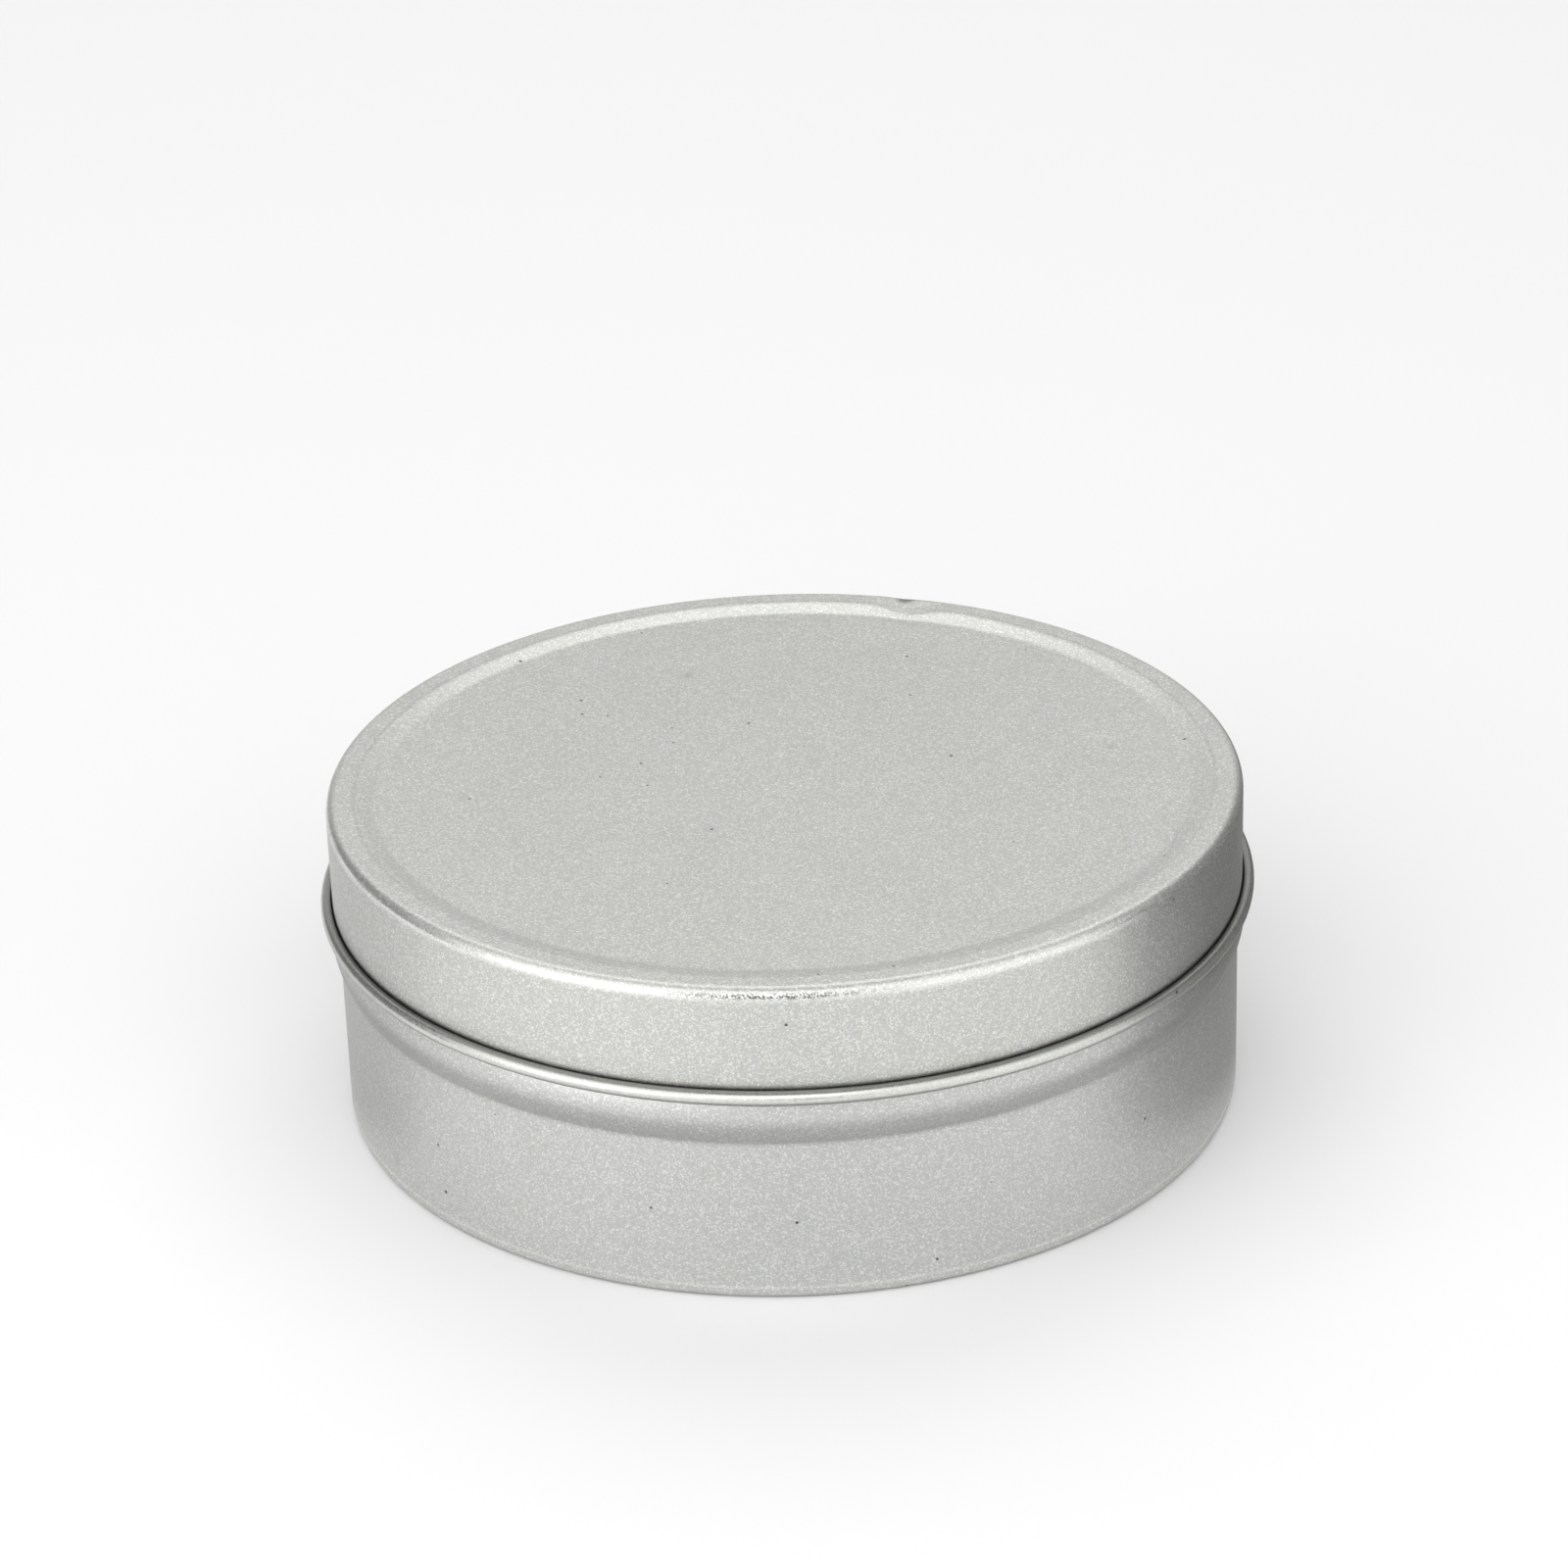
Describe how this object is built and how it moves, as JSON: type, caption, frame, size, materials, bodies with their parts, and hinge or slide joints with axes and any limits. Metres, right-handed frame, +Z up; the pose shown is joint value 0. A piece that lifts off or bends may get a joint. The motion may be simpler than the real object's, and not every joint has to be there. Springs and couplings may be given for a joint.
{
  "type": "candle tin",
  "caption": "Shallow round slip-lid tin for poured candles: seamless drawn body with a stop bead and rolled rim, and a drawn lid with a recessed top panel and an outward curl.",
  "frame": {"origin": "centre of the foot ring, on the surface the tin stands on", "axes": "+Z up along the tin's axis of symmetry, the way the lid comes off; X and Y are free, because the tin is round"},
  "size_m": [0.0856, 0.0856, 0.0304],
  "materials": {
    "body_lacquer": "satin",
    "lid_lacquer": "satin"
  },
  "bodies": {
    "body": {"tin_body": "body_lacquer"},
    "lid": {"tin_lid": "lid_lacquer"}
  },
  "joints": [
    {"name": "lid_lift", "type": "slide", "parent": "body", "child": "lid", "axis": [0, 0, 1], "range_m": [0, 0.05]}
  ]
}
